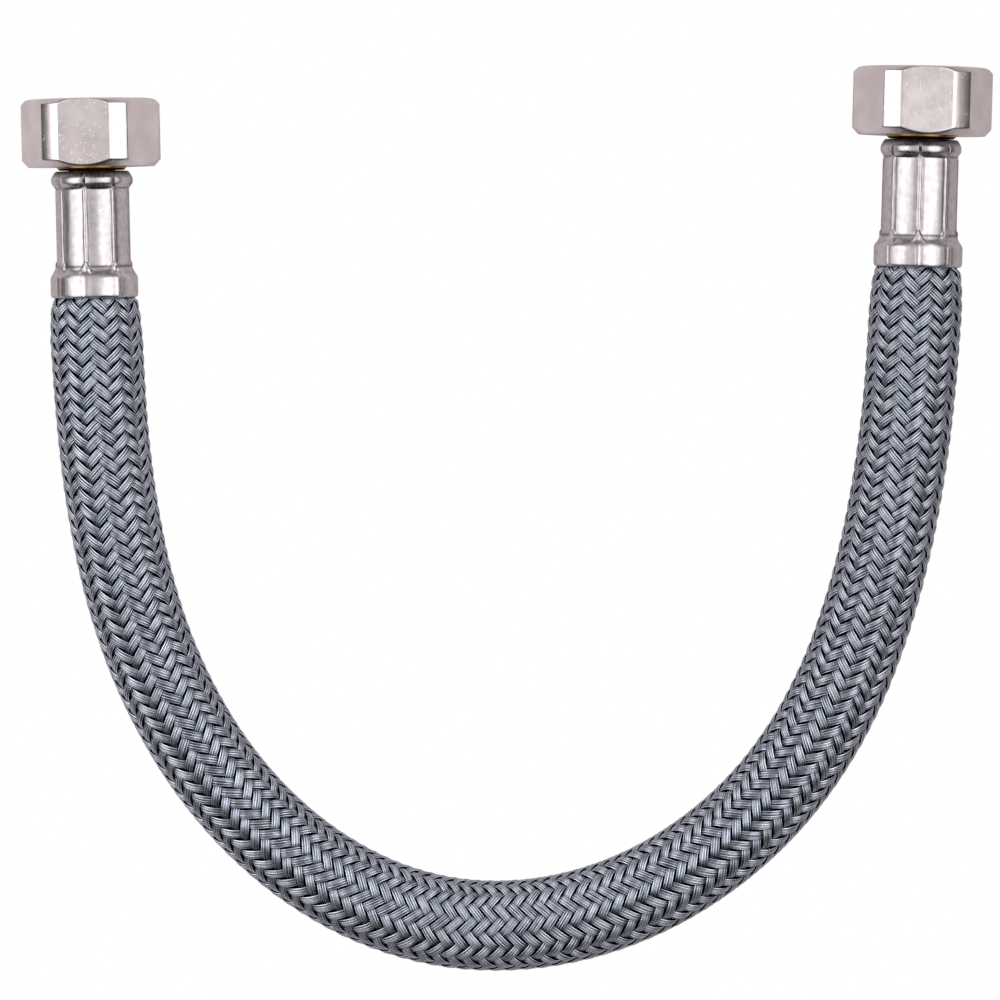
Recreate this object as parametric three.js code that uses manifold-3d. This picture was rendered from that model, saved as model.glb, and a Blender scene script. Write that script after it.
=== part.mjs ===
import * as THREE from 'three';
import { mergeVertices } from 'three/addons/utils/BufferGeometryUtils.js';
import Module from 'manifold-3d';

const wasm = await Module();
wasm.setup();

// Flexible tap connector, millimetres, lying in a U with +Z up.
// Each end fitting is turned about its own Y axis: mouth of the ferrule at 0, open end of the nut at +Y.

// Clearances between neighbouring pieces
const gap = 0.3;

// Swivel nut, G 3/4 thread
const nutAcrossFlats = 30;
const cornerTurnedOff = 1.27;
const endFaceRelief = 0.6;
const endEdgeRise = 0.2;
const endEdgeRun = 0.7;
const chamferLength = 1.2;
const nutHeight = 15.5;
const nutWeb = 3.1;
const threadMinorRadius = 24.117 / 2;
const threadMajorRadius = 26.441 / 2;
const threadMouthRelief = 0.1;

// Brass tail with its barbed spigot
const nutGap = 0.5;
const neckRadius = 8;
const flangePlay = 0.86;
const flangeThickness = 2;
const spigotStart = 4;
const spigotTipWall = 0.4;
const shankLength = 3.7;
const barbCrest = 5.3;
const barbDepth = 0.45;
const barbFace = 0.5;
const barbs = 6;
const boreRadius = 4;
const boreMouthCone = 1.2;

// Rubber washer in the nut
const washerPlay = 0.36;
const washerInner = 6.8;
const washerThickness = 3;

// Hose: braid over liner, free and squeezed under the ferrule
const hoseRadius = 10.6;
const hoseBulge = 0.15;
const bulgeAt = 10;
const bulgeEnd = 30;
const mouthSqueeze = 1.24;
const braidWall = 0.9;
const braidSqueezed = 0.6;
const linerWall = 1.6;
const linerSqueezed = 1;
const hoseStop = 6.6;
const hoseSides = 12;
const freeSteps = 30;

// Crimped ferrule
const ferruleLength = 29.6;
const ferruleWall = 0.4;
const ferruleTop = 0.7;
const collarLength = 5.2;
const shoulderLength = 3.2;
const beadLength = 4.3;
const beadRise = 1;
const edgeRound = 0.4;
const topRound = 0.8;
const crimpDies = 8;
const crimpFlatness = 0.35;
const seamHeight = 0.12;
const pinchHeight = 0.42;
const pinchSpread = 1.8;
const beadValley = 0.3;
const collarLobes = 0.3;

// Number of flats round the turned pieces, a multiple of the crimp dies for the ferrule
const nutFacets = 48;
const ferruleFacets = 48;
const tailFacets = 28;

// Radii that follow from what lies inside
const nutCornerRadius = nutAcrossFlats / Math.sqrt(3) - cornerTurnedOff;
const nutEndRadius = nutAcrossFlats / 2 - endFaceRelief;
const flangeRadius = threadMinorRadius - flangePlay;
const washerOuter = threadMinorRadius - washerPlay;
const barbRoot = barbCrest - barbDepth;
const linerOnSpigot = (barbCrest + gap) / Math.cos(Math.PI / hoseSides);
const braidInWaist = linerOnSpigot + linerSqueezed + gap + braidSqueezed;
const waistRadius = braidInWaist + gap + ferruleWall;
const braidInCollar = hoseRadius - mouthSqueeze;
const collarRadius = braidInCollar + gap + ferruleWall;
const beadRadius = waistRadius + beadRise;

// Levels along a fitting, from the ferrule mouth
const waistStart = collarLength + shoulderLength;
const waistEnd = ferruleLength - beadLength;
const hoseInFerrule = ferruleLength - hoseStop;
const spigotEnd = ferruleLength + gap;
const nutBack = ferruleLength + nutGap;
const nutFront = nutBack + nutHeight;
const webFront = nutBack + nutWeb;
const flangeBack = webFront + gap;
const flangeFront = flangeBack + flangeThickness;
const washerBack = flangeFront + gap;

// End fittings: ferrule mouth, turn about +Z in degrees, turn of the crimp pattern in degrees
const axisHeight = nutAcrossFlats / 2;
const leftEnd = { mouth: [-94.93, 52.1], turn: 0.97, crimp: 33 };
const rightEnd = { mouth: [94.88, 59.25], turn: -1.25, crimp: 22 };

// Free run of the hose between the two mouths
const freeRun = [
  [-94.2, 35.4, 14.8],
  [-93.1, 19.0, 14.3],
  [-91.1, 2.5, 13.6],
  [-87.9, -14.0, 12.7],
  [-83.1, -29.9, 11.9],
  [-76.4, -44.9, 11.2],
  [-67.8, -58.8, 10.8],
  [-57.1, -71.2, 10.65],
  [-44.3, -81.7, 10.6],
  [-29.6, -89.6, 10.6],
  [-13.5, -94.1, 10.6],
  [3.1, -94.7, 10.6],
  [18.9, -91.9, 10.6],
  [34.0, -86.0, 10.6],
  [48.1, -77.1, 10.6],
  [60.5, -65.7, 10.65],
  [70.6, -52.2, 10.8],
  [78.3, -37.4, 11.3],
  [83.9, -21.9, 12.0],
  [88.0, -6.0, 12.8],
  [90.9, 10.2, 13.7],
  [92.9, 26.7, 14.4],
  [94.1, 43.1, 14.8],
];

// Solids
function toManifold(geometry) {
  const bare = geometry.clone();
  bare.deleteAttribute('normal');
  bare.deleteAttribute('uv');
  const merged = mergeVertices(bare, 1e-4);
  return new wasm.Manifold(new wasm.Mesh({
    numProp: 3,
    vertProperties: new Float32Array(merged.attributes.position.array),
    triVerts: new Uint32Array(merged.index.array),
  }));
}

function toGeometry(solid) {
  const mesh = solid.getMesh();
  const geometry = new THREE.BufferGeometry();
  geometry.setAttribute('position', new THREE.BufferAttribute(mesh.vertProperties, 3));
  geometry.setIndex(new THREE.BufferAttribute(mesh.triVerts, 1));
  geometry.computeVertexNormals();
  return geometry;
}

function turned(profile, facets) {
  const points = profile.map(([y, r]) => new THREE.Vector2(r, y));
  if (points[0].x > 0) points.push(points[0].clone());
  return new THREE.LatheGeometry(points, facets);
}

function piece(name, geometry, material) {
  const mesh = new THREE.Mesh(geometry, new THREE.MeshStandardMaterial(material));
  mesh.name = name;
  return mesh;
}

// Materials
const nickel = { color: 0xc9bfba, roughness: 0.38, metalness: 1 };
const stainless = { color: 0xc4c2c4, roughness: 0.22, metalness: 1 };
const brass = { color: 0xc9a765, roughness: 0.3, metalness: 1 };
const rubber = { color: 0x2b2b2d, roughness: 0.8, metalness: 0 };
const liner = { color: 0x1d1e20, roughness: 0.7, metalness: 0 };
const wire = { color: 0x8d939d, roughness: 0.35, metalness: 1 };

// Hexagon nut with turned corners, chamfered at both ends
function nutGeometry() {
  const corner = nutAcrossFlats / 2 / Math.cos(Math.PI / 6);
  const outline = [];
  for (let i = 0; i < 6; i += 1) {
    const angle = i * Math.PI / 3;
    outline.push(new THREE.Vector2(corner * Math.cos(angle), corner * Math.sin(angle)));
  }
  const section = new THREE.Shape(outline);
  const prism = new THREE.ExtrudeGeometry(section, { depth: nutHeight, bevelEnabled: false });
  prism.rotateX(-Math.PI / 2);
  prism.translate(0, nutBack, 0);
  const envelope = turned([
    [nutBack, 0],
    [nutBack, nutEndRadius],
    [nutBack + endEdgeRise, nutEndRadius + endEdgeRun],
    [nutBack + chamferLength, nutCornerRadius],
    [nutFront - chamferLength, nutCornerRadius],
    [nutFront - endEdgeRise, nutEndRadius + endEdgeRun],
    [nutFront, nutEndRadius],
    [nutFront, 0],
  ], nutFacets);
  const lead = threadMajorRadius + threadMouthRelief - threadMinorRadius;
  const bore = turned([
    [nutBack - 1, 0],
    [nutBack - 1, neckRadius + gap],
    [webFront, neckRadius + gap],
    [webFront, threadMinorRadius],
    [nutFront - lead, threadMinorRadius],
    [nutFront, threadMinorRadius + lead],
    [nutFront + 1, threadMinorRadius + lead],
    [nutFront + 1, 0],
  ], nutFacets);
  return toGeometry(toManifold(prism).intersect(toManifold(envelope)).subtract(toManifold(bore)));
}

// Outer profile of the ferrule as pairs of level and radius
const shoulderDrop = collarRadius - waistRadius;
const ferruleProfile = [
  [0, collarRadius - edgeRound / 2],
  [edgeRound, collarRadius],
  [collarLength, collarRadius],
  [collarLength + shoulderLength * 0.2, collarRadius - shoulderDrop * 0.28],
  [collarLength + shoulderLength * 0.45, waistRadius + shoulderDrop * 0.3],
  [collarLength + shoulderLength * 0.7, waistRadius + shoulderDrop * 0.08],
  [waistStart, waistRadius],
  [waistEnd, waistRadius],
  [waistEnd + beadLength * 0.22, waistRadius + beadRise * 0.6],
  [waistEnd + beadLength * 0.42, beadRadius],
  [waistEnd + beadLength * 0.62, beadRadius - beadRise * 0.1],
  [ferruleLength - topRound * 0.4, waistRadius + topRound * 0.1],
  [ferruleLength, waistRadius - topRound * 0.4],
];

// Levels where the inner wall has a ring of its own
const innerRings = [0, 2, 4, 5, 6, 7];

// One die of the crimping press flattens its share of the ring and leaves a seam on either side
function crimp(angle, level, patternTurn) {
  const share = 2 * Math.PI / crimpDies;
  const turn = angle - THREE.MathUtils.degToRad(patternTurn);
  const across = turn - Math.round(turn / share) * share;
  const flat = waistRadius * crimpFlatness * (1 / Math.cos(across) - 1);
  const nearSeam = Math.max(0, 1 - (share / 2 - Math.abs(across)) / (2 * Math.PI / ferruleFacets));
  const pinchLevel = collarLength + shoulderLength * 0.8;
  const rise = THREE.MathUtils.smoothstep(level, collarLength, pinchLevel);
  const fall = 1 - THREE.MathUtils.smoothstep(level, waistEnd, waistEnd + beadLength * 0.4);
  const onWaist = Math.max(collarLobes, rise) * fall;
  const atPinch = Math.max(0, 1 - Math.abs(level - pinchLevel) / pinchSpread);
  const atValley = Math.max(0, 1 - Math.abs(level - waistEnd - beadLength * 0.42) / (beadLength * 0.3));
  const raised = pinchHeight * atPinch - beadValley * atValley;
  return onWaist * (flat + seamHeight * nearSeam) + raised * nearSeam;
}

function ferruleGeometry(patternTurn) {
  const inside = innerRings.map((i) => [ferruleProfile[i][0], ferruleProfile[i][1] - ferruleWall]);
  const lip = barbCrest + gap;
  const profile = [
    ...ferruleProfile,
    [ferruleLength, lip],
    [ferruleLength - ferruleTop, lip],
    [ferruleLength - ferruleTop, waistRadius + topRound * 0.1 - ferruleWall],
    [waistEnd + beadLength * 0.5, beadRadius - ferruleWall],
    ...inside.reverse(),
  ];
  const geometry = turned(profile, ferruleFacets);
  geometry.rotateY(THREE.MathUtils.degToRad(-patternTurn));
  const position = geometry.attributes.position;
  for (let i = 0; i < position.count; i += 1) {
    const x = position.getX(i);
    const z = position.getZ(i);
    const radius = Math.hypot(x, z);
    const level = position.getY(i);
    const moved = level < ferruleLength - ferruleTop ? crimp(Math.atan2(z, x), level, patternTurn) : 0;
    position.setX(i, x * (radius + moved) / radius);
    position.setZ(i, z * (radius + moved) / radius);
  }
  return toGeometry(toManifold(geometry));
}

// Brass tail: flange held by the nut, neck, barbed spigot and the water way through it
function tailGeometry() {
  const barbPitch = (ferruleLength - shankLength - spigotStart) / barbs;
  const outside = [];
  for (let i = 0; i < barbs; i += 1) {
    const level = spigotStart + i * barbPitch;
    outside.push([level, i === 0 ? boreRadius + spigotTipWall : barbRoot]);
    outside.push([level + barbPitch - barbFace, barbCrest]);
  }
  outside.push([ferruleLength - shankLength, barbRoot]);
  outside.push([ferruleLength - shankLength + barbDepth, barbCrest]);
  outside.push([spigotEnd, barbCrest]);
  outside.push([spigotEnd, neckRadius]);
  outside.push([flangeBack, neckRadius]);
  outside.push([flangeBack, flangeRadius]);
  outside.push([flangeFront, flangeRadius]);
  outside.push([flangeFront, boreRadius + boreMouthCone]);
  outside.push([flangeFront - boreMouthCone, boreRadius]);
  outside.push([spigotStart, boreRadius]);
  return toGeometry(toManifold(turned(outside, tailFacets)));
}

function washerGeometry() {
  return toGeometry(toManifold(turned([
    [washerBack, washerInner],
    [washerBack, washerOuter],
    [washerBack + washerThickness, washerOuter],
    [washerBack + washerThickness, washerInner],
  ], tailFacets)));
}

// Radius of the braid at distances past the ferrule mouth, negative inside the ferrule
const braidEdge = braidInCollar - edgeRound / 2;
const sleeveStops = [
  [-waistStart, braidInWaist],
  [-collarLength - shoulderLength * 0.2, THREE.MathUtils.lerp(braidInWaist, braidInCollar, 0.2)],
  [-collarLength * 0.8, braidEdge],
  [0, braidEdge],
  [edgeRound * 2.5, hoseRadius - mouthSqueeze / 2],
  [bulgeAt * 0.4, hoseRadius - mouthSqueeze / 8],
  [bulgeAt, hoseRadius + hoseBulge],
  [bulgeEnd, hoseRadius],
];

function braidRadius(past) {
  const next = sleeveStops.findIndex(([level]) => past <= level);
  if (next === 0) return braidInWaist;
  if (next < 0) return hoseRadius;
  const [level, radius] = sleeveStops[next];
  const [before, start] = sleeveStops[next - 1];
  return THREE.MathUtils.mapLinear(past, before, level, start, radius);
}

// Centre line of the hose with rings set closer together at the two ends
class HoseLine extends THREE.Curve {
  constructor(points) {
    super();
    this.curve = new THREE.CatmullRomCurve3(points, false, 'centripetal');
    this.curve.arcLengthDivisions = 4000;
    this.length = this.curve.getLength();
    const run = this.length - 2 * hoseInFerrule;
    const close = [-hoseInFerrule, ...sleeveStops.map(([past]) => past).filter((past) => past <= bulgeAt)];
    const middle = [];
    for (let i = 1; i < freeSteps; i += 1) middle.push(bulgeAt + (run - 2 * bulgeAt) * i / freeSteps);
    const far = close.map((past) => run - past).reverse();
    this.past = [...close, ...middle, ...far];
    this.run = run;
  }

  at(u) {
    return (this.past[Math.round(u * (this.past.length - 1))] + hoseInFerrule) / this.length;
  }

  getPointAt(u, target) {
    return this.curve.getPointAt(Math.min(1, Math.max(0, this.at(u))), target);
  }

  getTangentAt(u, target) {
    return this.curve.getTangentAt(Math.min(1, Math.max(0, this.at(u))), target);
  }
}

function endPoint(end, level) {
  const turn = THREE.MathUtils.degToRad(end.turn);
  const [x, y] = end.mouth;
  return new THREE.Vector3(x - level * Math.sin(turn), y + level * Math.cos(turn), axisHeight);
}

function hoseLine() {
  const inside = [hoseInFerrule, hoseInFerrule / 2, 0];
  return new HoseLine([
    ...inside.map((level) => endPoint(leftEnd, level)),
    ...freeRun.map((point) => new THREE.Vector3(...point)),
    ...inside.reverse().map((level) => endPoint(rightEnd, level)),
  ]);
}

// A sleeve swept along the hose: outer and inner ring each take their own radius at every station
function sleeveGeometry(line, outerRadius, innerRadius) {
  const ring = (radius) => {
    const points = [];
    for (let i = 0; i < hoseSides; i += 1) {
      const angle = (i + 0.25) * 2 * Math.PI / hoseSides;
      points.push(new THREE.Vector2(radius * Math.cos(angle), radius * Math.sin(angle)));
    }
    return points;
  };
  const section = new THREE.Shape(ring(1));
  section.holes.push(new THREE.Path(ring(0.5).reverse()));
  const steps = line.past.length - 1;
  const geometry = new THREE.ExtrudeGeometry(section, { steps, extrudePath: line, bevelEnabled: false });
  const centres = line.past.map((past, i) => line.getPointAt(i / steps));
  const position = geometry.attributes.position;
  const vertex = new THREE.Vector3();
  for (let i = 0; i < position.count; i += 1) {
    vertex.fromBufferAttribute(position, i);
    let nearest = 0;
    centres.forEach((centre, k) => {
      if (centre.distanceToSquared(vertex) < centres[nearest].distanceToSquared(vertex)) nearest = k;
    });
    const past = Math.min(line.past[nearest], line.run - line.past[nearest]);
    const offset = vertex.clone().sub(centres[nearest]);
    const radius = offset.length() > 0.75 ? outerRadius(past) : innerRadius(past);
    vertex.copy(centres[nearest]).addScaledVector(offset.normalize(), radius);
    position.setXYZ(i, vertex.x, vertex.y, vertex.z);
  }
  return toGeometry(toManifold(geometry));
}

const squeeze = (past) => THREE.MathUtils.smoothstep(past, -waistStart, 0);
const braidDepth = (past) => THREE.MathUtils.lerp(braidSqueezed, braidWall, squeeze(past));
const braidInner = (past) => braidRadius(past) - braidDepth(past);
const linerOuter = (past) => braidInner(past) - gap;
const linerBore = hoseRadius - braidWall - gap - linerWall;
const linerInner = (past) => THREE.MathUtils.lerp(linerOnSpigot, linerBore, squeeze(past));

function fitting(side, end) {
  const group = new THREE.Group();
  group.name = `fitting_${side}`;
  group.add(piece(`nut_${side}`, nutGeometry(), nickel));
  group.add(piece(`washer_${side}`, washerGeometry(), rubber));
  group.add(piece(`tail_${side}`, tailGeometry(), brass));
  group.add(piece(`ferrule_${side}`, ferruleGeometry(end.crimp), stainless));
  group.position.set(end.mouth[0], end.mouth[1], axisHeight);
  group.rotation.z = THREE.MathUtils.degToRad(end.turn);
  return group;
}

const line = hoseLine();
const connector = new THREE.Group();
connector.name = 'flexible_tap_connector';
connector.add(fitting('left', leftEnd));
connector.add(fitting('right', rightEnd));
connector.add(piece('braid', sleeveGeometry(line, braidRadius, braidInner), wire));
connector.add(piece('inner_tube', sleeveGeometry(line, linerOuter, linerInner), liner));

export default connector;
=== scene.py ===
import math

import bmesh
import bpy
import numpy as np
from mathutils import Matrix, Vector


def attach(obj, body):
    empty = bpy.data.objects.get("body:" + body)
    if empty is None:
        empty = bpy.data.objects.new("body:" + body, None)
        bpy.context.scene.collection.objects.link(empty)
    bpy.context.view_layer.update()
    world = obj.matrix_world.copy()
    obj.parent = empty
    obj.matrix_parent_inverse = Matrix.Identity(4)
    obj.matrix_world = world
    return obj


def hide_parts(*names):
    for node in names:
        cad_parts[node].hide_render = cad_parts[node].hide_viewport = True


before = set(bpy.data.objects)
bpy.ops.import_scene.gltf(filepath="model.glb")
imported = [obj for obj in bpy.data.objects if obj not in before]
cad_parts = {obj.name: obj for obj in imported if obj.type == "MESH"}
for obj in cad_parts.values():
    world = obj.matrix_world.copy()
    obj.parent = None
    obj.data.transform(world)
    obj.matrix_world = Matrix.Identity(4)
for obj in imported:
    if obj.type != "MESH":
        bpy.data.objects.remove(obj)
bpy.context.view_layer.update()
scene = bpy.context.scene


def linear(colour):
    # sRGB hex to the linear values that shader sockets take
    channels = [int(colour[i:i + 2], 16) / 255 for i in (1, 3, 5)]
    return tuple(c / 12.92 if c <= 0.04045 else ((c + 0.055) / 1.055) ** 2.4 for c in channels) + (1.0,)


# camera, nearly straight above
view = {"place": (0.0168, 0.0699, 0.961), "target": (-0.0013, 0.0051, 0.012), "lens": 147.5, "sensor": 36,
        "nearest": 0.01, "farthest": 20}
camera = bpy.data.objects.new("camera", bpy.data.cameras.new("camera"))
camera.data.lens = view["lens"]
camera.data.sensor_width = view["sensor"]
camera.data.clip_start = view["nearest"]
camera.data.clip_end = view["farthest"]
camera.location = view["place"]
aim = (Vector(view["target"]) - camera.location).normalized()
rightward = aim.cross(Vector((0, 1, 0))).normalized()
camera.rotation_euler = Matrix((rightward, rightward.cross(aim), -aim)).transposed().to_euler()
scene.collection.objects.link(camera)
scene.camera = camera
print("stage: camera")

# hose: lengths and radii in millimetres, angles in degrees, places in metres
hose = {
    "radius": 10.6, "insideFerrule": 23.0, "bore": 7.8, "spigotBore": 5.8,
    # outer radii of sleeve and tube at distances past a ferrule's mouth, those under it below zero
    "mouthSteps": [-8.4, -5.6, -4, 0, 1, 4, 10, 30],
    "sleeve": [7.7, 8.1, 9.16, 9.2, 9.95, 10.42, 10.75, 10.6],
    "tube": [6.8, 7.0, 7.9, 8.1, 8.8, 9.3, 9.4, 9.4],
    # the weave: strands of one hand, wires in a strand, degrees that a strand turns in a millimetre
    "carriers": 18, "wires": 7, "angularRate": 6.0, "ribbon": 2.14, "crown": 0.1, "relief": 0.46, "roundness": 1.0,
    "underFerrule": 6.0, "slack": 2, "lead": 0.5, "calmRun": 3, "calmShare": 0.35, "sideStrip": 0.0005,
    # where the weave has slipped: millimetres along, then degrees round, at distances past the left mouth
    "slipAt": [0, 60, 130, 170, 210, 280, 340, 397], "slipAlong": [1.15, 1.0, 0.75, 1.5, 2.2, 2.6, 2.3, 2.1],
    "slipRound": [36.4, 35.8, 33.0, 31.0, 32.5, 33.8, 37.0, 38.6],
}
ends = {
    "left": {"mouth": (-0.09493, 0.0521, 0.015), "turn": 0.97, "crimp": 28},
    "right": {"mouth": (0.09488, 0.05925, 0.015), "turn": -1.25, "crimp": 28},
}
# centre line between the ferrules
freeRun = [
    (-0.0942, 0.0354, 0.0148), (-0.0931, 0.0190, 0.0143), (-0.0911, 0.0025, 0.0136),
    (-0.0879, -0.0140, 0.0127), (-0.0831, -0.0299, 0.0119), (-0.0764, -0.0449, 0.0112),
    (-0.0678, -0.0588, 0.0108), (-0.0571, -0.0712, 0.01065), (-0.0443, -0.0817, 0.0106),
    (-0.0296, -0.0896, 0.0106), (-0.0135, -0.0941, 0.0106), (0.0031, -0.0947, 0.0106),
    (0.0189, -0.0919, 0.0106), (0.0340, -0.0860, 0.0106), (0.0481, -0.0771, 0.0106),
    (0.0605, -0.0657, 0.01065), (0.0706, -0.0522, 0.0108), (0.0783, -0.0374, 0.0113),
    (0.0839, -0.0219, 0.0120), (0.0880, -0.0060, 0.0128), (0.0909, 0.0102, 0.0137),
    (0.0929, 0.0267, 0.0144), (0.0941, 0.0431, 0.0148),
]


def alongFitting(end, distance):
    turn = math.radians(end["turn"])
    x, y, z = end["mouth"]
    return (x - distance * math.sin(turn), y + distance * math.cos(turn), z)


def throughPoints(points, perSpan=40):
    # centripetal Catmull-Rom through the points
    p = np.array(points, float)
    p = np.vstack([2 * p[0] - p[1], p, 2 * p[-1] - p[-2]])
    out = []
    for a, b, c, d in zip(p[:-3], p[1:-2], p[2:-1], p[3:]):
        ta, tb, tc = (max(np.linalg.norm(v) ** 0.5, 1e-9) for v in (b - a, c - b, d - c))
        m1 = ((b - a) / ta - (c - a) / (ta + tb) + (c - b) / tb) * tb
        m2 = ((c - b) / tb - (d - b) / (tb + tc) + (d - c) / tc) * tb
        t = np.linspace(0, 1, perSpan, endpoint=False)[:, None]
        out.append(b + m1 * t + (3 * (c - b) - 2 * m1 - m2) * t ** 2 + (2 * (b - c) + m1 + m2) * t ** 3)
    return np.vstack(out + [p[-2:-1]])


def evenLine(points, samples=900, softenings=30):
    # evenly spaced points along the curve, softened a little, and the distance to each
    fine = throughPoints(points)
    run = np.concatenate([[0], np.cumsum(np.linalg.norm(np.diff(fine, axis=0), axis=1))])
    at = np.linspace(0, run[-1], samples)
    even = np.column_stack([np.interp(at, run, fine[:, i]) for i in range(3)])
    for _ in range(softenings):
        even[1:-1] = (even[:-2] + 2 * even[1:-1] + even[2:]) / 4
    return even, at


inside = [hose["insideFerrule"] / 1000, hose["insideFerrule"] / 2000, 0.0]
route = [alongFitting(ends["left"], v) for v in inside] + freeRun
route += [alongFitting(ends["right"], v) for v in reversed(inside)]
line, lineAt = evenLine(route)
totalLength = lineAt[-1]
tangent = np.gradient(line, axis=0)
tangent /= np.linalg.norm(tangent, axis=1)[:, None]
upward = np.array([0, 0, 1.0]) - tangent * tangent[:, 2:3]
upward /= np.linalg.norm(upward, axis=1)[:, None]
outward = np.cross(tangent, upward)
freeLength = (totalLength - 2 * inside[0]) * 1000  # millimetres between the ferrule mouths


def onHose(past, turn, radius):
    # millimetres past the left mouth, radians from the top towards the outside of the bend, radius in millimetres
    at = past / 1000 + inside[0]
    centre, up, out = (
        np.column_stack([np.interp(at, lineAt, v[:, i]) for i in range(3)]) for v in (line, upward, outward))
    return centre + (up * np.cos(turn)[:, None] + out * np.sin(turn)[:, None]) * radius[:, None] / 1000


def fromMouth(past):
    # millimetres past the nearer ferrule mouth
    return np.minimum(past, freeLength - past)


def newObject(name, bm, smooth=True):
    mesh = bpy.data.meshes.new(name)
    bm.to_mesh(mesh)
    bm.free()
    obj = bpy.data.objects.new(name, mesh)
    scene.collection.objects.link(obj)
    for polygon in mesh.polygons:
        polygon.use_smooth = smooth
    return obj


def gridPiece(name, columns, rows, place):
    # a square grid laid out by place(u, v), u and v running from 0 to 1; welded where its borders meet
    bm = bmesh.new()
    bmesh.ops.create_grid(bm, x_segments=columns, y_segments=rows, size=0.5)
    flat = np.array([v.co[:] for v in bm.verts]) + 0.5
    for vertex, point in zip(bm.verts, place(flat[:, 0], flat[:, 1])):
        vertex.co = point
    bmesh.ops.remove_doubles(bm, verts=bm.verts, dist=2e-6)
    bmesh.ops.recalc_face_normals(bm, faces=bm.faces)
    return newObject(name, bm)


# rubber tube under the braid, narrowed with it under the ferrules
def tubeShape(u, v):
    # u goes once round the wall's section (end, outside, end, inside), v round the hose
    corners = [0, 0.02, 0.5, 0.52, 1]
    share = np.interp(u, corners, [0, 0, 1, 1, 0])
    outsideShare = np.interp(u, corners, [0, 1, 1, 0, 0])
    past = share * (freeLength + 2 * hose["insideFerrule"]) - hose["insideFerrule"]
    outer = np.interp(fromMouth(past), hose["mouthSteps"], hose["tube"])
    inner = np.interp(fromMouth(past), [hose["mouthSteps"][0], 0], [hose["spigotBore"], hose["bore"]])
    return onHose(past, v * 2 * math.pi, inner + (outer - inner) * outsideShare)


liner = gridPiece("inner_tube_rubber", 400, 40, tubeShape)
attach(liner, "hose")
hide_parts("inner_tube")
print("stage: tube", len(liner.data.polygons))

# wire braid: eighteen strands each way, each over two and under two
crossStep = 360 / hose["carriers"]  # degrees between strands of one hand
profile = np.array([  # share of the ribbon's width, height in millimetres
    (-0.5, -0.35), (-0.5, -0.14), (-0.38, 0.03), (-0.12, 0.1), (0.12, 0.1), (0.38, 0.03), (0.5, -0.14), (0.5, -0.35)])


def overUnder(x):
    # one for over and minus one for under, four strands to a period
    return np.tanh(hose["roundness"] * np.cos(math.pi / 2 * (x - 0.5))) / math.tanh(hose["roundness"])


def strandPlace(hand, index, u, v):
    # u along the strand, v across it; also gives the distance along, the share across and how far up it lies
    angle = math.atan(hose["angularRate"] * math.pi / 180 * hose["radius"])
    reach = freeLength + 2 * hose["underFerrule"] + hose["slack"]
    centre = u * reach - hose["underFerrule"] + hose["lead"]
    spot = v * (len(profile) - 1)
    across, height = (np.interp(spot, range(len(profile)), profile[:, i]) for i in (0, 1))
    width = across * hose["ribbon"]
    past = centre - hand * width * math.sin(angle)
    lies = past - np.interp(past, hose["slipAt"], hose["slipAlong"])
    near = fromMouth(lies)
    turn = crossStep * index + hand * hose["angularRate"] * centre
    turn = turn + np.degrees(width * math.cos(angle) / hose["radius"])
    other = (turn + hand * hose["angularRate"] * past) / crossStep
    calm = np.clip(1 + near / hose["calmRun"], hose["calmShare"], 1)  # flattened where the ferrule squeezes
    over = hand * overUnder(other + index)
    sleeve = np.interp(near, hose["mouthSteps"], hose["sleeve"])
    radius = sleeve + hose["relief"] * calm * (over - 1) - hose["crown"] + height
    real = np.radians(turn - np.interp(past, hose["slipAt"], hose["slipRound"]))
    return onHose(lies, real, radius), centre / math.cos(angle), across, over


def strandGroup(name, hand, indices, columns=960):
    # several strands of one hand, with the wires' own UV: millimetres along, then strand number and share across
    bm = bmesh.new()
    for _ in indices:
        bmesh.ops.create_grid(bm, x_segments=columns, y_segments=len(profile) - 1, size=0.5)
    flat = np.array([v.co[:] for v in bm.verts]) + 0.5
    each = len(flat) // len(indices)
    uvs = np.empty((len(flat), 2))
    points = np.empty((len(flat), 3))
    lifts = np.empty(len(flat))
    for k, index in enumerate(indices):
        part = slice(k * each, (k + 1) * each)
        points[part], uvs[part, 0], across, lifts[part] = strandPlace(hand, index, flat[part, 0], flat[part, 1])
        within = np.clip(across + 0.5, hose["sideStrip"], 1 - hose["sideStrip"])
        uvs[part, 1] = within + index * 2 + (1 if hand > 0 else 0)
    for vertex, point in zip(bm.verts, points):
        vertex.co = point
    obj = newObject(name, bm)
    mesh = obj.data
    corners = np.empty(len(mesh.loops), int)
    mesh.loops.foreach_get("vertex_index", corners)
    mesh.uv_layers.new(name="wires").data.foreach_set("uv", uvs[corners].ravel())
    mesh.attributes.new("lift", "FLOAT", "POINT").data.foreach_set("value", lifts)
    mesh.update()
    # a face on the first strand's crown tells whether the normals point outwards
    crown = mesh.polygons[columns * (len(profile) // 2 - 1) + 10]
    at = np.argmin(np.linalg.norm(line - np.array(crown.center[:]), axis=1))
    if np.dot(np.array(crown.center[:]) - line[at], np.array(crown.normal[:])) < 0:
        mesh.flip_normals()
    return obj


strands = []
for hand, word in ((1, "right"), (-1, "left")):
    for start in (0, 6, 12):
        piece = strandGroup(f"braid_{word}_{start // 6 + 1}", hand, range(start, start + 6))
        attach(piece, "hose")
        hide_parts("braid")
        strands.append(piece)
print("stage: braid", sum(len(s.data.polygons) for s in strands))


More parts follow.
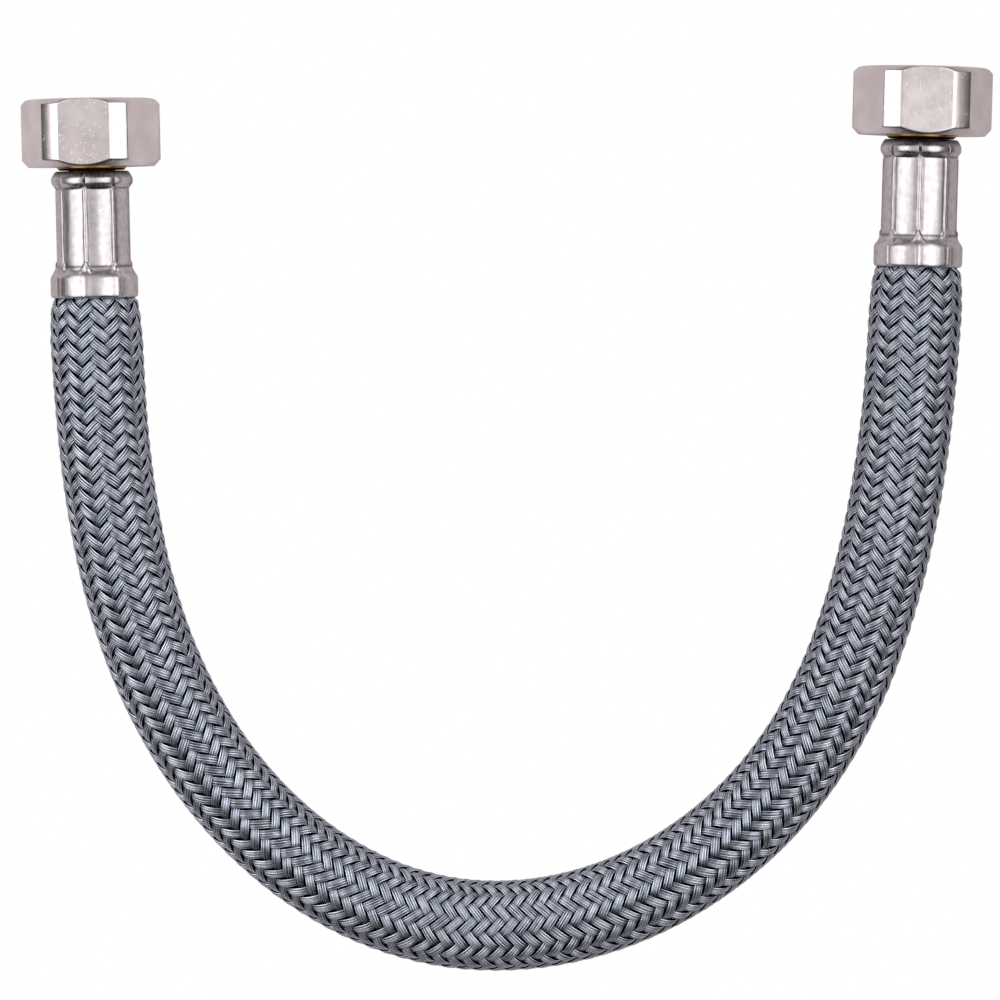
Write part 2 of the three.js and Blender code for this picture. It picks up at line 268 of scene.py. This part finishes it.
# end fittings, turned about their own axis
def fittingPlace(end, distance, radius, turn):
    # millimetres from the ferrule mouth, radius in millimetres, radians from +X to +Z
    tilt = math.radians(end["turn"])
    x, y = radius * np.cos(turn), distance
    return np.column_stack([
        end["mouth"][0] + (x * math.cos(tilt) - y * math.sin(tilt)) / 1000,
        end["mouth"][1] + (x * math.sin(tilt) + y * math.cos(tilt)) / 1000,
        end["mouth"][2] + radius * np.sin(turn) / 1000])


def ringOf(rings, v):
    # the two values of the ring that each point lies on
    row = np.clip(np.round(v * (len(rings) - 1)).astype(int), 0, len(rings) - 1)
    return (np.array(values)[row] for values in zip(*rings))


def turnedPiece(name, end, rings, columns=96):
    # rings of distance and radius, first and last the same
    def place(u, v):
        distance, radius = ringOf(rings, v)
        return fittingPlace(end, distance, radius, u * 2 * math.pi)

    return gridPiece(name, columns, len(rings) - 1, place)


def rounded(points, radius, steps):
    # closed profile with its corners rounded
    out = []
    n = len(points)
    for i in range(n):
        before, here, after = (np.array(points[(i + k) % n], float) for k in (-1, 0, 1))
        a, b = before - here, after - here
        la, lb = np.linalg.norm(a), np.linalg.norm(b)
        r = min(radius, la * 0.4, lb * 0.4)
        start, stop = here + a / la * r, here + b / lb * r
        for t in np.linspace(0, 1, steps + 1):
            out.append(tuple((1 - t) ** 2 * start + 2 * t * (1 - t) * here + t ** 2 * stop))
    return out + [out[0]]


def smoothStep(x, low, high):
    t = np.clip((x - low) / (high - low), 0, 1)
    return t * t * (3 - 2 * t)


def hump(x, middle, width):
    return np.exp(-((x - middle) / width) ** 2)


# distances from the ferrule's mouth along a fitting
level = {"ferrule": 29.1, "nutBack": 30.1, "webFront": 33.2, "flangeBack": 33.5, "flangeFront": 35.5,
         "washerBack": 35.8, "washerFront": 38.8, "nutFront": 45.6}

# ferrule: a pressed cup with a collar, a waist and a bead, then the marks of eight dies
ferrule = {
    "wall": 0.4, "waist": 8.4, "mouthRound": 0.25, "topEdge": 8.25, "underEdge": 7.7, "hole": 5.6, "topWall": 0.7,
    "outline": [
        (0, 9.7), (0.25, 9.96), (0.7, 10.06), (4.6, 10.06), (5.4, 9.65), (6.2, 8.9), (7.0, 8.5), (7.7, 8.4),
        (24.9, 8.4), (25.6, 8.8), (26.2, 9.34), (26.9, 9.46), (27.6, 9.36), (28.3, 8.92), (29.0, 8.42)],
    "sampleStep": 0.05, "blur": 0.22, "blurReach": 16,
    # the dies: where collar, seam feet, panels and bead lie, then heights and widths of their marks
    "dies": 8, "collarEnd": (4.5, 6.3), "footRise": (5.4, 6.2), "footFall": (7.9, 8.6), "footTip": 8.4,
    "panelStart": (6.4, 7.4), "panelStop": (24.6, 25.3), "bead": 26.8, "beadEnd": (27.8, 28.7),
    "flatness": 0.24, "ridge": (0.12, 0.36), "groove": (0.05, 0.65, 0.28), "pinch": (0.3, 6.9, 0.85, 0.55),
    "fold": (0.28, 0.45, 0.3), "notch": (1.3, 0.2, 1.3, 0.4, 0.24), "crease": (0.09, 7.5, 0.3, 24.8, 0.25),
    "gather": 0.55,
    # painted shade in the folds: strength, place and width, the shade beside the seams wavering along and round
    "shadeBeside": (0.55, 0.5, 0.17), "shadeWaver": (0.25, 0.7, 9), "shadeNotch": (1.5, 0.46), "shadeClear": 0.7,
    "shadeFoot": (0.75, 7.2, 0.32), "shadeHead": (0.7, 25.15, 0.22), "shadeEnd": 0.8,
}


def ferruleOutline(at):
    step, reach = ferrule["sampleStep"], ferrule["blurReach"]
    samples = np.arange(-2, 32, step)
    radii = np.interp(samples, *zip(*ferrule["outline"]))
    kernel = np.exp(-0.5 * (np.arange(-reach, reach + 1) * step / ferrule["blur"]) ** 2)
    padded = np.pad(radii, reach, mode="edge")
    return np.interp(at, samples, np.convolve(padded, kernel / kernel.sum(), mode="valid"))


def fromSeam(turn, crimp):
    # radians from the middle of the panel, millimetres from the nearest seam
    share = 2 * math.pi / ferrule["dies"]
    across = turn - math.radians(crimp)
    across = across - np.round(across / share) * share
    return across, (share / 2 - np.abs(across)) * ferrule["waist"]


def onPanel(at):
    return smoothStep(at, *ferrule["panelStart"]) * (1 - smoothStep(at, *ferrule["panelStop"]))


def dieMarks(at, turn, crimp):
    across, off = fromSeam(turn, crimp)
    flat = ferrule["waist"] * ferrule["flatness"] * (1 / np.cos(across) - 1)
    ridgeRise, ridgeWidth = ferrule["ridge"]
    grooveDrop, grooveAt, grooveWidth = ferrule["groove"]
    ridge = ridgeRise * np.exp(-(off / ridgeWidth) ** 4)
    groove = grooveDrop * hump(off, grooveAt, grooveWidth)
    collar = 1 - smoothStep(at, *ferrule["collarEnd"])
    marks = onPanel(at) * (flat + ridge - groove) + collar * (0.3 * flat + 0.5 * ridge - 0.6 * groove)
    # where a seam runs out into the collar: a pinch between two folds that spread
    pinchRise, pinchAt, pinchLength, pinchWidth = ferrule["pinch"]
    foldRise, foldSpread, foldWidth = ferrule["fold"]
    marks = marks + pinchRise * hump(at, pinchAt, pinchLength) * hump(off, 0, pinchWidth)
    spread = smoothStep(at, *ferrule["footRise"]) * (1 - smoothStep(at, *ferrule["footFall"]))
    marks = marks + foldRise * hump(off, (ferrule["footTip"] - at) * foldSpread, foldWidth) * spread
    # notches across the bead, creases at both ends of a panel
    notchLength, wideDrop, wideWidth, sharpDrop, sharpWidth = ferrule["notch"]
    sharp = wideDrop * hump(off, 0, wideWidth) + sharpDrop * hump(off, 0, sharpWidth)
    creaseDrop, footAt, footWidth, headAt, headWidth = ferrule["crease"]
    creases = (hump(at, footAt, footWidth) + hump(at, headAt, headWidth)) * (1 - hump(off, 0, 1))
    return marks - hump(at, ferrule["bead"], notchLength) * sharp - creaseDrop * creases


def paintedFoldShade(at, off, drift):
    # painted shade in the folds: how dark beside the seams, in the bead's notches, in the creases and at the
    # ferrule's end
    strength, besideAt, besideWidth = ferrule["shadeBeside"]
    waver, waverAlong, waverRound = ferrule["shadeWaver"]
    wavering = strength + waver * np.sin(waverAlong * at + waverRound * drift)
    beside = wavering * onPanel(at) * hump(off, besideAt, besideWidth)
    notchLength, notchWidth = ferrule["shadeNotch"]
    notches = hump(at, ferrule["bead"], notchLength) * hump(off, 0, notchWidth)
    awayFromSeam = 1 - hump(off, 0, ferrule["shadeClear"])
    creases = [dark * hump(at, middle, width) * awayFromSeam
               for dark, middle, width in (ferrule["shadeFoot"], ferrule["shadeHead"])]
    return np.maximum.reduce([beside, notches, *creases, ferrule["shadeEnd"] * smoothStep(at, *ferrule["beadEnd"])])


def ferrulePiece(name, end, columns=256):
    # rings up the outside, over the top and down the inside, closer together where the shape changes
    up = np.concatenate([np.linspace(0.25, 4.5, 14), np.linspace(4.7, 8.9, 26), np.linspace(9.9, 23.9, 12),
                         np.linspace(24.2, 28.8, 28)])
    down = np.linspace(28.2, 0.25, 30)
    rings = [("lip", 0.0)] + [("out", a) for a in up] + [("top", t) for t in (0, 0.3, 0.6, 1)]
    rings += [("under", t) for t in (1, 0.5, 0)] + [("in", a) for a in down] + [("lip", 0.0)]

    def place(u, v):
        kinds, value = ringOf(rings, v)
        turn = u * 2 * math.pi
        # columns gathered at the seams
        dies = ferrule["dies"]
        turn = turn + ferrule["gather"] / dies * np.sin(dies * (turn - math.radians(end["crimp"])))
        walls = (kinds == "out") | (kinds == "in")
        at = np.where(walls, value, ferrule["mouthRound"])
        outer = ferruleOutline(at) + dieMarks(at, turn, end["crimp"])
        radius = np.select(
            [kinds == "out", kinds == "in", kinds == "top", kinds == "under"],
            [outer, outer - ferrule["wall"], ferrule["topEdge"] + (ferrule["hole"] - ferrule["topEdge"]) * value,
             ferrule["underEdge"] + (ferrule["hole"] - ferrule["underEdge"]) * value],
            outer - ferrule["mouthRound"])
        top = np.full_like(u, level["ferrule"])
        distance = np.select([walls, kinds == "top", kinds == "under"], [value, top, top - ferrule["topWall"]], 0.0)
        return fittingPlace(end, distance, radius, turn)

    piece = gridPiece(name, columns, len(rings) - 1, place)
    local = (np.array([v.co[:] for v in piece.data.vertices]) - np.array(end["mouth"])) * 1000
    tilt = math.radians(end["turn"])
    at = local[:, 1] * math.cos(tilt) - local[:, 0] * math.sin(tilt)
    side = local[:, 0] * math.cos(tilt) + local[:, 1] * math.sin(tilt)
    off = fromSeam(np.arctan2(local[:, 2], side), end["crimp"])[1]
    # painted shade in the seams, notches, creases and at the ferrule's end, kept per point
    folds = piece.data.attributes.new("folds", "FLOAT", "POINT")
    folds.data.foreach_set("value", paintedFoldShade(at, off, local[:, 0]))
    return piece


# nut: hexagon with turned corners, chamfers, and a G 3/4 thread cut as a helix
nut = {
    "flats": 29.6, "corner": 15.93, "edge": 0.06, "hole": 8.3, "holeRound": 0.25,
    # chamfers as a radius at the end and a slope: two steps in front, one at the back
    "frontSteep": (14.25, 3.5), "frontFlat": (14.77, 0.94), "frontBlend": 0.12, "back": (14.5, 0.93),
    "minor": 12.0585, "major": 13.2205, "pitch": 1.8143, "flankSlope": 1.3, "mouthBevel": 1.26,
    "threadStart": 0.4, "threadRun": 1.4,
}


def softMin(a, b, k):
    return -k * np.logaddexp(-a / k, -b / k)


def nutOuter(at, turn):
    sector = (turn % (math.pi / 3)) - math.pi / 6
    radius = softMin(nut["flats"] / 2 / np.cos(sector), np.full_like(turn, nut["corner"]), nut["edge"] * 0.5)
    front, back = level["nutFront"] - at, at - level["nutBack"]
    steep, flat = (start + front * slope for start, slope in (nut["frontSteep"], nut["frontFlat"]))
    radius = softMin(radius, softMin(steep, flat, nut["frontBlend"]), nut["edge"])
    return softMin(radius, nut["back"][0] + back * nut["back"][1], nut["edge"] * 1.5)


def nutBore(at, turn):
    phase = (at / nut["pitch"] + turn / (2 * math.pi)) % 1
    tooth = smoothStep((np.abs(2 * phase - 1) - 0.5) * nut["flankSlope"] + 0.5, 0, 1)
    cut = np.clip((at - level["webFront"] - nut["threadStart"]) / nut["threadRun"], 0, 1)
    thread = nut["minor"] + (nut["major"] - nut["minor"]) * tooth * cut
    return np.maximum(thread, nut["minor"] + at - (level["nutFront"] - nut["mouthBevel"]))


def nutColumns():
    # radians, closer together where the corners start
    half = [0, 2.5, 5, 7.2, 8.2, 8.7, 9, 9.2, 9.4, 9.7, 10.2, 11.2, 13, 15, 17.5, 20, 22.5, 25, 27.5, 30]
    sector = sorted({a for h in half for a in (h, 60 - h)})
    return np.radians(np.array(sorted({round(60 * k + a, 3) for k in range(6) for a in sector})))


def nutPiece(name, end):
    # rings along the outside, over the face, down the bore, over the web, through its hole and over the back
    depth = [0, 0.06, 0.12, 0.19, 0.27, 0.38, 0.5, 0.62, 0.74, 0.86, 0.98, 1.08, 1.17, 1.26, 1.36, 1.5]
    back, front, web, inset = level["nutBack"], level["nutFront"], level["webFront"], nut["holeRound"]
    middle = (34.5, 38.1, 41.7)
    rings = [("outer", back + d * 1.2) for d in depth] + [("outer", a) for a in middle]
    rings += [("outer", front - d) for d in reversed(depth)] + [("face", t) for t in (0.3, 0.7)]
    rings += [("bore", a) for a in np.linspace(front, web + 0.02, 90)]
    rings += [("web", t) for t in (0.05, 0.95)] + [("hole", web - inset), ("hole", back + inset)]
    rings += [("back", t) for t in (0.05, 0.5, 0.95)] + [("outer", back)]
    turns = nutColumns()

    def place(u, v):
        kinds, value = ringOf(rings, v)
        turn = np.interp(u, np.linspace(0, 1, len(turns)), turns)
        whole = np.full_like(u, 1.0)
        at = np.where((kinds == "outer") | (kinds == "bore"), value, middle[1])
        faceOuter, faceInner = nutOuter(whole * front, turn), nutBore(whole * front, turn)
        backInner = nut["hole"] + inset
        radius = np.select(
            [kinds == "outer", kinds == "face", kinds == "bore", kinds == "web", kinds == "hole"],
            [nutOuter(at, turn), faceOuter + (faceInner - faceOuter) * value, nutBore(at, turn),
             nut["minor"] + (nut["hole"] - nut["minor"]) * value, nut["hole"] * whole],
            backInner + (nutOuter(whole * back, turn) - backInner) * value)
        distance = np.select(
            [(kinds == "outer") | (kinds == "bore") | (kinds == "hole"), kinds == "face", kinds == "web"],
            [value, front * whole, web * whole], back)
        return fittingPlace(end, distance, radius, turn)

    return gridPiece(name, len(turns) - 1, len(rings) - 1, place)


# tail: barbed spigot, shoulder, neck and the flange that the nut pulls on
tail = {"start": 4.0, "bore": 4.0, "tip": 4.4, "barbs": 6, "barbRoot": 4.85, "barbCrest": 5.3, "crestLength": 0.5,
        "shank": 25.9, "shoulder": (29.3, 7.4), "neckStart": 29.8, "neck": 8.0, "flange": 11.2, "funnel": 5.2,
        "funnelDepth": 1.2, "edge": 0.15}


def tailRings():
    pitch = (tail["shank"] - tail["start"]) / tail["barbs"]
    points = [(tail["start"], tail["bore"]), (tail["start"], tail["tip"])]
    for i in range(tail["barbs"]):
        if i:
            points.append((tail["start"] + i * pitch, tail["barbRoot"]))
        points.append((tail["start"] + (i + 1) * pitch - tail["crestLength"], tail["barbCrest"]))
    back, front = level["flangeBack"], level["flangeFront"]
    points += [
        (tail["shank"], tail["barbRoot"]), (tail["shank"] + 0.45, tail["barbCrest"]),
        (tail["shoulder"][0], tail["barbCrest"]), tail["shoulder"], (tail["neckStart"], tail["neck"]),
        (back, tail["neck"]), (back, tail["flange"]), (front, tail["flange"]), (front, tail["funnel"]),
        (front - tail["funnelDepth"], tail["bore"])]
    return rounded(points, tail["edge"], 2)


# washer: flat rubber ring pushed into the nut
washer = {"hole": 6.8, "rim": 11.7, "edge": 0.35}


def washerRings():
    back, front = level["washerBack"], level["washerFront"]
    corners = [(back, washer["hole"]), (back, washer["rim"]), (front, washer["rim"]), (front, washer["hole"])]
    return rounded(corners, washer["edge"], 4)


fittings = {}
for side, end in ends.items():
    made = {
        "nut": nutPiece(f"nut_{side}_plated", end),
        "washer": turnedPiece(f"washer_{side}_rubber", end, washerRings()),
        "tail": turnedPiece(f"tail_{side}_brass", end, tailRings()),
        "ferrule": ferrulePiece(f"ferrule_{side}_pressed", end),
    }
    for part, piece in made.items():
        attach(piece, f"swivel_{side}" if part in ("nut", "washer") else "hose")
        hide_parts(f"{part}_{side}")
        fittings[part, side] = piece
    print("stage: fitting", side, {k: len(p.data.polygons) for k, p in made.items()})


# materials
def newMaterial(name):
    material = bpy.data.materials.new(name)
    material.use_nodes = True
    tree = material.node_tree
    return material, tree, tree.nodes["Principled BSDF"]


def addNode(tree, kind, settings=None, **links):
    # settings are node properties or socket values, links name the sockets that other sockets feed
    node = tree.nodes.new(kind)
    for key, value in (settings or {}).items():
        if hasattr(node, key):
            setattr(node, key, value)
        else:
            node.inputs[key].default_value = value
    for key, source in links.items():
        tree.links.new(source, node.inputs[int(key[1:]) if key[0] == "_" else key.replace("_", " ")])
    return node


def feed(tree, socket, term):
    # a number, a hex colour or another node's socket
    if isinstance(term, bpy.types.NodeSocket):
        tree.links.new(term, socket)
    else:
        socket.default_value = linear(term) if isinstance(term, str) else term


def worked(tree, operation, *terms):
    node = addNode(tree, "ShaderNodeMath", {"operation": operation})
    for socket, term in zip(node.inputs, terms):
        feed(tree, socket, term)
    return node.outputs[0]


def blended(tree, share, first, second):
    mixer = addNode(tree, "ShaderNodeMix", {"data_type": "RGBA"}, _0=share)
    feed(tree, mixer.inputs[6], first)
    feed(tree, mixer.inputs[7], second)
    return mixer.outputs[2]


def noise(tree, vector, scale, detail):
    # scale counts the lumps in a unit of the vector, a metre for an object's own coordinates
    return addNode(tree, "ShaderNodeTexNoise", {"Scale": scale, "Detail": detail}, Vector=vector).outputs["Fac"]


def stretched(tree, vector, scale):
    return addNode(tree, "ShaderNodeMapping", {"Scale": scale}, Vector=vector).outputs["Vector"]


def bumped(tree, height, strength, distance, **below):
    settings = {"Strength": strength, "Distance": distance}
    return addNode(tree, "ShaderNodeBump", settings, Height=height, **below).outputs["Normal"]


def ramp(tree, source, low, high, start, stop):
    # maps a value from start..stop to low..high, held outside
    return addNode(tree, "ShaderNodeMapRange", {
        "From Min": start, "From Max": stop, "To Min": low, "To Max": high}, Value=source).outputs["Result"]


def setShader(tree, shader, colour, metallic, roughness, **maps):
    # the look as a whole, then the maps that vary it
    shader.inputs["Base Color"].default_value = linear(colour)
    shader.inputs["Metallic"].default_value = metallic
    shader.inputs["Roughness"].default_value = roughness
    for key, source in maps.items():
        tree.links.new(source, shader.inputs[key.replace("_", " ")])


def objectCoords(tree):
    return addNode(tree, "ShaderNodeTexCoord").outputs["Object"]


def plated(name, dark, bright, low, high, grain, pits):
    # satin nickel over machined brass: a fine even grain, a few pits and specks, soft clouds in the gloss
    material, tree, shader = newMaterial(name)
    coords = objectCoords(tree)
    clouds = noise(tree, coords, scale=160.0, detail=3.0)
    cells = addNode(tree, "ShaderNodeTexVoronoi", {"Scale": 1100.0, "Randomness": 1.0}, Vector=coords).outputs
    pitDepth = ramp(tree, cells["Distance"], 0.0, 1.0, 0.1, 0.2)
    fineGrain = bumped(tree, noise(tree, coords, scale=5200.0, detail=2.0), strength=grain, distance=0.00003)
    setShader(
        tree, shader, bright, 1.0, low,
        Base_Color=blended(tree, ramp(tree, clouds, 0.0, 1.0, 0.35, 0.65), dark, bright),
        Roughness=ramp(tree, clouds, low, high, 0.3, 0.7),
        Normal=bumped(tree, pitDepth, strength=pits, distance=0.00008, Normal=fineGrain))
    return material


def pressed(name):
    # bright stainless sheet drawn by the press dies: streaks along the axis, slight orange peel, painted shade in the
    # folds
    material, tree, shader = newMaterial(name)
    coords = objectCoords(tree)
    streaks = noise(tree, stretched(tree, coords, (1.0, 0.06, 1.0)), scale=1500.0, detail=3.0)
    peel = noise(tree, coords, scale=700.0, detail=2.0)
    # painted shade: the folds attribute darkens the sheet in the seams, notches, creases and at the end
    folds = addNode(tree, "ShaderNodeAttribute", {"attribute_name": "folds"}).outputs["Fac"]
    sheet = blended(tree, ramp(tree, peel, 0.0, 1.0, 0.3, 0.7), "#b6b1b5", "#cdc9cc")
    streakBump = bumped(tree, streaks, strength=0.25, distance=0.00004)
    setShader(
        tree, shader, "#dbd5d7", 1.0, 0.16, Base_Color=blended(tree, folds, sheet, "#2a2626"),
        Roughness=ramp(tree, streaks, 0.24, 0.36, 0.35, 0.65),
        Normal=bumped(tree, peel, strength=0.2, distance=0.00006, Normal=streakBump))
    return material


def machinedBrass(name):
    # turned brass: rings left by the tool across the axis; colours darker than bare brass, painted shade for the gap
    # under the nut where it shows
    material, tree, shader = newMaterial(name)
    rings = noise(tree, stretched(tree, objectCoords(tree), (0.05, 1.0, 0.05)), scale=6000.0, detail=2.0)
    setShader(
        tree, shader, "#9c7a40", 1.0, 0.3, Base_Color=blended(tree, rings, "#7d5f2e", "#b08e52"),
        Normal=bumped(tree, rings, strength=0.4, distance=0.00003))
    return material


def mouldedRubber(name, colour, roughness):
    # moulded rubber: dull, with a very fine even skin
    material, tree, shader = newMaterial(name)
    skin = noise(tree, objectCoords(tree), scale=3500.0, detail=3.0)
    setShader(
        tree, shader, colour, 0.0, roughness,
        Roughness=ramp(tree, skin, roughness - 0.08, roughness + 0.1, 0.3, 0.7),
        Normal=bumped(tree, skin, strength=0.35, distance=0.00005))
    return material


def wovenWire(name):
    # drawn stainless wires side by side: bright and round, painted shade in the hairline gaps between them, every
    # other wire painted darker and duller as the shade of a lower wire
    material, tree, shader = newMaterial(name)
    uv = addNode(tree, "ShaderNodeUVMap", {"uv_map": "wires"}).outputs["UV"]
    along, place = (addNode(tree, "ShaderNodeSeparateXYZ", Vector=uv).outputs[axis] for axis in "XY")
    strand = worked(tree, "FLOOR", place)
    across = worked(tree, "SUBTRACT", place, strand)
    wires = worked(tree, "MULTIPLY", across, float(hose["wires"]))
    wire = worked(tree, "FLOOR", wires)
    # the half circle that a wire's section makes
    centred = worked(tree, "MULTIPLY_ADD", worked(tree, "SUBTRACT", wires, wire), 2.0, -1.0)
    dome = worked(tree, "SUBTRACT", 1.0, worked(tree, "MULTIPLY", centred, centred))
    height = worked(tree, "SQRT", worked(tree, "MAXIMUM", dome, 0.0))
    # a tone that drifts along each wire, partly random and partly painted glints, with every other wire painted
    # darker as shade
    row = worked(tree, "MULTIPLY_ADD", strand, 13.7, wire)
    lay = addNode(tree, "ShaderNodeCombineXYZ", X=worked(tree, "MULTIPLY", along, 0.12), Y=row).outputs[0]
    shadedWire = worked(tree, "MODULO", wire, 2.0)
    drift = noise(tree, lay, scale=1.31, detail=1.0)
    toneAndGlints = worked(tree, "MULTIPLY_ADD", shadedWire, -0.5, ramp(tree, drift, 0.45, 1.1, 0.32, 0.68))
    body = blended(tree, toneAndGlints, "#4b576f", "#e8f1ff")
    # painted shade in the grooves between the wires
    shadedGrooves = blended(tree, ramp(tree, height, 0.0, 1.0, 0.1, 0.62), "#20242c", body)
    # painted shade: near black on the strand's sides and where it dives under
    lift = addNode(tree, "ShaderNodeAttribute", {"attribute_name": "lift"}).outputs["Fac"]
    sideways = worked(tree, "ABSOLUTE", worked(tree, "SUBTRACT", across, 0.5))
    outsidePaintedShade = worked(tree, "MINIMUM", ramp(tree, lift, 0.0, 1.0, -0.9, 0.5),
                     ramp(tree, sideways, 1.0, 0.0, 0.47, 0.495))
    setShader(
        tree, shader, "#9ba1ad", 1.0, 0.22, Base_Color=blended(tree, outsidePaintedShade, "#0a0c10", shadedGrooves),
        Normal=bumped(tree, height, strength=1.0, distance=0.00015))
    return material


def dress(piece, material, slot):
    piece.data.materials.clear()
    piece.data.materials.append(material)


nickel = plated("nickelPlateOnMachinedBrass", "#cfc8ca", "#ddd7d9", 0.2, 0.26, 0.3, 0.4)
stainless = pressed("brightPressedStainless")
brass = machinedBrass("turnedBrass")
washerRubber = mouldedRubber("mouldedWasherRubber", "#26272a", 0.7)
tubeRubber = mouldedRubber("extrudedTubeRubber", "#0d0e12", 0.55)
wireSteel = wovenWire("wovenStainlessWire")
for (part, side), piece in fittings.items():
    chosen = {"nut": (nickel, "nickel"), "washer": (washerRubber, "rubber"), "tail": (brass, "brass"),
              "ferrule": (stainless, "stainless")}[part]
    dress(piece, *chosen)
for piece in strands:
    dress(piece, wireSteel, "wire")
dress(liner, tubeRubber, "liner")
print("stage: materials")


def whiteToCamera(tree, lit, plainKind, output):
    # the camera sees plain white, everything else sees what is lit
    plain = addNode(tree, plainKind, {"Color": (1, 1, 1, 1), "Strength": 1.0})
    rays = addNode(tree, "ShaderNodeLightPath").outputs["Is Camera Ray"]
    mixer = addNode(tree, "ShaderNodeMixShader", _0=rays, _1=lit.outputs[0], _2=plain.outputs[0])
    tree.links.new(mixer.outputs[0], tree.nodes[output].inputs["Surface"])


# studio: a white floor and surround to the camera, pale and grey to the metal, and two softboxes
studio = {
    "floorSize": 3, "floorDrop": 0.0002, "floor": "#dcd5d6", "overhead": (0.0, 0.3, 0.95), "sideShare": 0.3,
    "dark": "#2b2829", "light": "#e8e2df", "darkest": 0.45, "lightest": 0.9,
}
bm = bmesh.new()
bmesh.ops.create_grid(bm, x_segments=1, y_segments=1, size=studio["floorSize"])
floor = newObject("floor", bm, smooth=False)
floor.location = (0, 0, -studio["floorDrop"])
paper, tree, shader = newMaterial("paperBackdrop")
setShader(tree, shader, studio["floor"], 0.0, 0.9)
whiteToCamera(tree, shader, "ShaderNodeEmission", "Material Output")
floor.data.materials.append(paper)

world = bpy.data.worlds.new("studio")
scene.world = world
world.use_nodes = True
tree = world.node_tree
toward = addNode(tree, "ShaderNodeTexCoord").outputs["Generated"]
overhead = addNode(tree, "ShaderNodeVectorMath", {"operation": "DOT_PRODUCT"}, _0=toward)
overhead.inputs[1].default_value = studio["overhead"]
sideways = worked(tree, "ABSOLUTE", addNode(tree, "ShaderNodeSeparateXYZ", Vector=toward).outputs["X"])
openness = worked(tree, "MULTIPLY_ADD", sideways, studio["sideShare"], overhead.outputs["Value"])
brightness = ramp(tree, openness, 0.0, 1.0, studio["darkest"], studio["lightest"])
surround = tree.nodes["Background"]
tree.links.new(blended(tree, brightness, studio["dark"], studio["light"]), surround.inputs["Color"])
whiteToCamera(tree, surround, "ShaderNodeBackground", "World Output")

softboxes = {
    "left": {"place": (-0.27, 0.11, 0.28), "size": (0.33, 0.52), "turn": -80, "radiance": 1.6},
    "right": {"place": (0.22, 0.11, 0.395), "size": (0.55, 0.52), "turn": 90, "radiance": 1.45},
}
for name, box in softboxes.items():
    lamp = bpy.data.lights.new(f"softbox_{name}", "AREA")
    lamp.shape = "RECTANGLE"
    lamp.size, lamp.size_y = box["size"]
    lamp.energy = box["radiance"] * math.pi * lamp.size * lamp.size_y
    obj = bpy.data.objects.new(lamp.name, lamp)
    obj.location = box["place"]
    obj.rotation_euler = (0, math.radians(box["turn"]), 0)
    obj.visible_camera = False
    scene.collection.objects.link(obj)

scene.view_settings.view_transform = "Standard"
print("stage: light")
bpy.context.view_layer.update()
